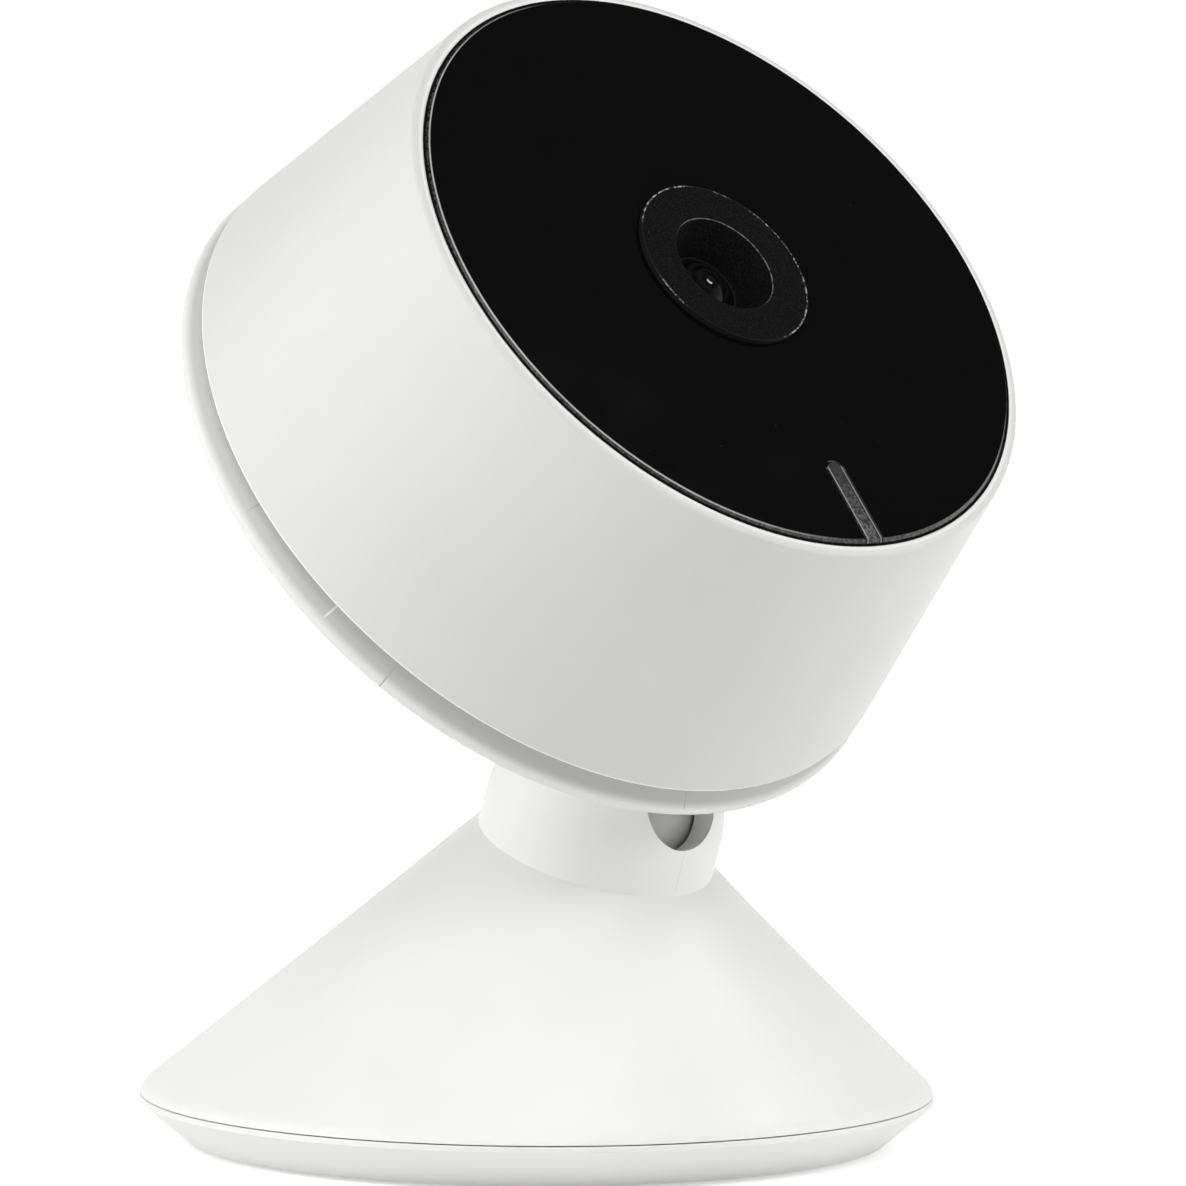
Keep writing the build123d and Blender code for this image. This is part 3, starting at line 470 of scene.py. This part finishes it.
def frosted_strip():
    """Grey light pipe, paler towards the rim, with painted highlights on its edges and a dark line inside
    the right one.
    """
    paint = Paint("light_pipe")
    fine = paint.noise(FLECK_CELLS, FINE_DETAIL)
    speck = paint.rise(fine, 0.42, 0.6)
    paler = paint.span(paint.head_radius(), 0.1, 1.0, GLASS_RADIUS - PIPE_LENGTH, GLASS_RADIUS - GLASS_BEVEL)
    paint.give("Base Color", paint.blend(paint.product(speck, paler), PIPE_DARK, PIPE_PALE))
    side = paint.along(head_centre, head_right)
    # painted highlights along both edges of the pipe, and a dark line inside the right one
    for middle, tone in PIPE_LINES:
        offset = paint.maths("ABSOLUTE", paint.maths("SUBTRACT", side, middle))
        paint.tint(paint.fall(offset, 0.4 * PIPE_LINE, 0.6 * PIPE_LINE), even(tone))
    paint.give("Roughness", 0.4)
    paint.give("Specular IOR Level", PIPE_GLOSS)
    paint.bump(fine, 0.02 * MM)
    return paint


def filter_glass():
    """Clear coated glass with a faint smear."""
    paint = Paint("filter_glass")
    paint.give("Base Color", (0.5, 0.2, 0.28))
    paint.give("Roughness", paint.span(paint.noise(SMEAR_CELLS, SMEAR_DETAIL), 0.02, 0.04))
    paint.give("Transmission Weight", 1.0)
    paint.give("IOR", FILTER_INDEX)
    return paint


def brushed(name, colour, roughness, stretch=(1.0, 1.0, 40.0)):
    """Metal with fine parallel scratches."""
    paint = Paint(name)
    scratch = paint.noise(SCRATCH_CELLS, SMEAR_DETAIL, stretch)
    paint.give("Base Color", paint.blend(paint.rise(scratch), shaded(colour, 0.8), colour))
    paint.give("Roughness", paint.span(scratch, roughness - 0.08, roughness + 0.08))
    paint.give("Metallic", 1.0)
    paint.bump(scratch, 0.005 * MM)
    return paint


def speckled(name, dark, bright, roughness, grain, threshold, gloss):
    """Dark rough surface with scattered bright specks."""
    paint = Paint(name)
    fine = paint.noise(grain, FINE_DETAIL)
    paint.give("Base Color", paint.blend(paint.rise(fine, threshold, threshold + 0.12), dark, bright))
    paint.give("Roughness", paint.span(fine, roughness + 0.1, roughness - 0.1))
    paint.give("Specular IOR Level", gloss)
    paint.bump(fine, 0.01 * MM)
    return paint


def ring_black():
    """Matte black of the lens ring, with painted light on its outer wall that lifts the shade there."""
    paint = speckled("bezel_black", RING_BLACK, RING_GREY, 0.6, RING_CELLS, 0.5, MATTE_GLOSS)
    # painted light on the ring's outer wall, lifting its shade
    wall = paint.rise(paint.head_radius(), WINDOW_RADIUS - WALL_LINE, WINDOW_RADIUS - 0.5 * WALL_LINE)
    paint.tint(wall, even(RING_WALL_LIGHT_TONE))
    return paint


def mouth_grey():
    """Edge of the ring's recess, grey with a painted highlight on its upper right and painted shade
    elsewhere.
    """
    paint = speckled("mouth_grey", even(0.04), even(0.2), 0.35, SPECK_CELLS, 0.42, EDGE_GLOSS)
    # painted shade away from the upper right; the speckled grey left there is a painted highlight
    toward_lit_side = paint.along(head_centre, across_head(MOUTH_LIT_TURN))
    paint.tint(paint.fall(toward_lit_side, -0.3 * MOUTH_RADIUS, 0.3 * MOUTH_RADIUS), even(MOUTH_SHADE_TONE))
    return paint


def gasket_black():
    """Dull black seal between the glass and the lip."""
    return speckled("gasket_black", even(0.003), even(0.008), 0.7, SPECK_CELLS, 0.5, MATTE_GLOSS)


def sparkling_edge():
    """Dark edge with bright flecks as painted highlights, the glints close together in some stretches and
    absent from others.
    """
    paint = Paint("edge_black")
    # painted highlight: bright flecks stand for glints along the edge
    glint_flecks = paint.rise(paint.noise(FLECK_CELLS), 0.46, 0.58)
    stretches = paint.rise(paint.noise(WEAR_CELLS, 1.0), 0.44, 0.56)
    paint.give("Base Color", paint.blend(paint.product(glint_flecks, stretches), even(0.006), even(0.42)))
    paint.give("Roughness", 0.45)
    paint.give("Specular IOR Level", EDGE_GLOSS)
    return paint


def printed_board(coat, track):
    """Circuit board: coated ground with paler tracks and plated dots."""
    paint = Paint("circuit_board")
    tracks = paint.nodes.new("ShaderNodeTexBrick")
    tracks.inputs["Scale"].default_value = TRACK_CELLS
    tracks.inputs["Mortar Size"].default_value = 0.03
    paint.feed(tracks.inputs["Color1"], coat)
    paint.feed(tracks.inputs["Color2"], shaded(coat, 0.85))
    paint.feed(tracks.inputs["Mortar"], track)
    paint.feed(tracks.inputs["Vector"], paint.place())
    paint.give("Base Color", tracks.outputs["Color"])
    paint.give("Metallic", paint.fall(paint.cells(PAD_CELLS), 0.1, 0.16))
    paint.give("Roughness", 0.35)
    paint.bump(tracks.outputs["Fac"], 0.02 * MM)
    return paint


def stippled(name, colour):
    """Rubber with a raised dot pattern."""
    paint = Paint(name)
    dots = paint.cells(RUBBER_CELLS)
    paint.give("Base Color", paint.blend(paint.rise(dots, 0.1, 0.6), colour, shaded(colour, 0.6)))
    paint.give("Roughness", 0.8)
    paint.bump(paint.fall(dots, 0.1, 0.6), 0.15 * MM)
    return paint


def dress(paint, *names):
    """Give CAD nodes a material."""
    for name in names:
        slots = frame["nodes"][name].data.materials
        slots.clear()
        slots.append(paint.material)


# Casings, front, joint and foot, with hidden pieces of the same materials
dress(shell_white(), "head_shell")
dress(cover_white(), "rear_cover")
dress(neck_white(), "base_shell")
dress(moulded("white_plastic_base", BASE_WHITE, WHITE_ROUGHNESS), "base_plate")
# the ball's white is darkened as painted shade for the notch it sits in
dress(moulded("white_plastic_ball_shaded", BALL_SHADED_WHITE, BALL_ROUGHNESS), "ball_stem")
dress(smoked_glass(), "front_glass")
dress(moulded("black_print", (0.004, 0.004, 0.0045), 0.6), "mask_film")
dress(frosted_strip(), "light_pipe")
dress(ring_black(), "lens_bezel")
dress(coated_lens(), "lens_front_element")
dress(moulded("lens_metal", even(0.012), 0.4, 20000.0), "lens_barrel")
dress(moulded("grey_plastic", (0.36, 0.37, 0.36), 0.45), "reset_button", "friction_cup")
dress(stippled("rubber", (0.1, 0.1, 0.105)), "rubber_foot", "speaker_gasket")

# Frame, boards, filter, speaker and metal pieces
dress(
    moulded("black_plastic", even(0.02), 0.5),
    "front_frame", "lens_holder", "board_connector", "led_connector", "reset_switch",
)
dress(
    printed_board((0.012, 0.10, 0.04), (0.03, 0.2, 0.09)),
    "sensor_board", "main_board", "led_board", "wifi_antenna",
)
dress(
    moulded("chip", (0.02, 0.02, 0.022), 0.55, 15000.0),
    "processor", "image_sensor", "light_sensor", "filter_actuator",
)
dress(moulded("led", (0.5, 0.5, 0.45), 0.15), "infrared_leds", "status_led")
dress(filter_glass(), "ir_cut_filter")
dress(
    brushed("steel", even(0.6), 0.35),
    "ballast", "ballast_screw", "base_screws", "clamp_plate", "clamp_spring", "clamp_screws", "stem_washer",
    "stem_nut", "lens_holder_screws", "board_screws", "rear_cover_screws", "power_socket", "microphone",
)
dress(brushed("brass", (0.72, 0.5, 0.22), 0.3), "board_standoffs")
dress(brushed("aluminium", (0.78, 0.78, 0.79), 0.4, (40.0, 1.0, 1.0)), "heat_spreader")
dress(moulded("speaker_body", even(0.03), 0.5, 6000.0, 0.01 * MM), "speaker")


def swept_ring(radius, height, half_width, half_height, segments=192, sides=12):
    """Closed ring of oval section about the lens axis."""
    shape = bmesh.new()
    rows = []
    for step in range(segments):
        turn = 2 * pi * step / segments
        row = []
        for side in range(sides):
            angle = 2 * pi * side / sides
            reach = radius + half_width * cos(angle)
            rise = height + half_height * sin(angle)
            row.append(shape.verts.new((reach * cos(turn), reach * sin(turn), rise)))
        rows.append(row)
    for step in range(segments):
        row = rows[step]
        following = rows[(step + 1) % segments]
        for side in range(sides):
            other = (side + 1) % sides
            shape.faces.new((row[side], following[side], following[other], row[other]))
    return shape


def new_object(name, shape, paint):
    """Object in the scene from a finished shape."""
    mesh = bpy.data.meshes.new(name)
    shape.to_mesh(mesh)
    shape.free()
    mesh.materials.append(paint.material)
    made = bpy.data.objects.new(name, mesh)
    bpy.context.scene.collection.objects.link(made)
    return made


def add_piece(name, shape, paint, body):
    """Smooth piece from a shape in the head frame, riding on a body."""
    bmesh.ops.transform(shape, matrix=head_place, verts=shape.verts)
    bmesh.ops.recalc_face_normals(shape, faces=shape.faces)
    for face in shape.faces:
        face.smooth = True
    piece = new_object(name, shape, paint)
    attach(piece, body)


add_piece("bezel_edge", swept_ring(*BEZEL_EDGE), sparkling_edge(), "head")
add_piece("mouth_edge", swept_ring(*MOUTH_EDGE), mouth_grey(), "head")
add_piece("glass_gasket", swept_ring(*GLASS_GASKET), gasket_black(), "head")


def make_floor():
    """Pale floor that keeps the shadow and fades to white away from the object."""
    paint = Paint("floor")
    paint.give("Base Color", even(FLOOR_TONE))
    paint.give("Roughness", 0.9)
    paint.give("Specular IOR Level", FLOOR_GLOSS)
    paint.give("Emission Color", even(1.0))
    seen = paint.maths("MAXIMUM", *paint.light_rays())
    away = paint.from_axis((0.0, 0.0, 0.0), UP)
    shown = paint.product(seen, paint.span(away, SHADOW_GLOW, 1.0, SHADOW_NEAR, SHADOW_FAR))
    paint.give("Emission Strength", paint.maths("MAXIMUM", shown, FLOOR_GLOW))
    shape = bmesh.new()
    bmesh.ops.create_circle(shape, cap_ends=True, segments=96, radius=FLOOR_RADIUS)
    floor = new_object("floor", shape, paint)
    floor.location.z = -FLOOR_GAP


def make_world():
    """White surround, darker overhead in reflections, softer as a light."""
    world = bpy.data.worlds.new("studio")
    bpy.context.scene.world = world
    world.use_nodes = True
    sky = Shading(world.node_tree)
    background = sky.nodes["Background"]
    sky.feed(background.inputs["Color"], even(1.0))
    camera_ray, mirrored = sky.light_rays()
    split = sky.nodes.new("ShaderNodeSeparateXYZ")
    sky.feed(split.inputs["Vector"], sky.nodes.new("ShaderNodeTexCoord").outputs["Generated"])
    slope = split.outputs["Z"]
    overhead = sky.span(slope, 1.0 - AMBIENT, OVERHEAD_GLOW - AMBIENT, OVERHEAD_START, OVERHEAD_END)
    around = sky.maths("ADD", sky.product(mirrored, overhead), AMBIENT)
    sky.feed(background.inputs["Strength"], sky.maths("MAXIMUM", camera_ray, around))


def make_lamps():
    """Soft studio lamps round the object."""
    for name, compass, height, distance, size, power in LAMPS:
        data = bpy.data.lights.new(name, "AREA")
        data.shape = "DISK"
        data.size = size
        data.energy = power
        lamp = bpy.data.objects.new(name, data)
        lamp.visible_glossy = name not in UNMIRRORED_LAMPS
        toward = direction(radians(compass), radians(height))
        turn = toward.to_track_quat("Z", "Y").to_matrix().to_4x4()
        lamp.matrix_world = Matrix.Translation(LAMP_AIM + toward * distance) @ turn
        bpy.context.scene.collection.objects.link(lamp)


def make_camera():
    """Long lens at the photograph's angle."""
    right = Vector((cos(CAMERA_AZIMUTH), sin(CAMERA_AZIMUTH), 0))
    back = direction(CAMERA_AZIMUTH, CAMERA_ELEVATION)
    up = back.cross(right)
    target = UP * TARGET_HEIGHT + right * TARGET_SHIFT
    turn = Matrix((right, up, back)).transposed().to_4x4() @ Matrix.Rotation(CAMERA_ROLL, 4, "Z")
    data = bpy.data.cameras.new("camera")
    data.lens = LENS_MM
    data.sensor_width = SENSOR_MM
    data.sensor_fit = "HORIZONTAL"
    data.clip_end = CLIP_END
    camera = bpy.data.objects.new("camera", data)
    camera.matrix_world = Matrix.Translation(target + back * CAMERA_DISTANCE) @ turn
    bpy.context.scene.collection.objects.link(camera)
    bpy.context.scene.camera = camera


bpy.context.scene.view_settings.view_transform = "Standard"
make_floor()
make_world()
make_lamps()
make_camera()
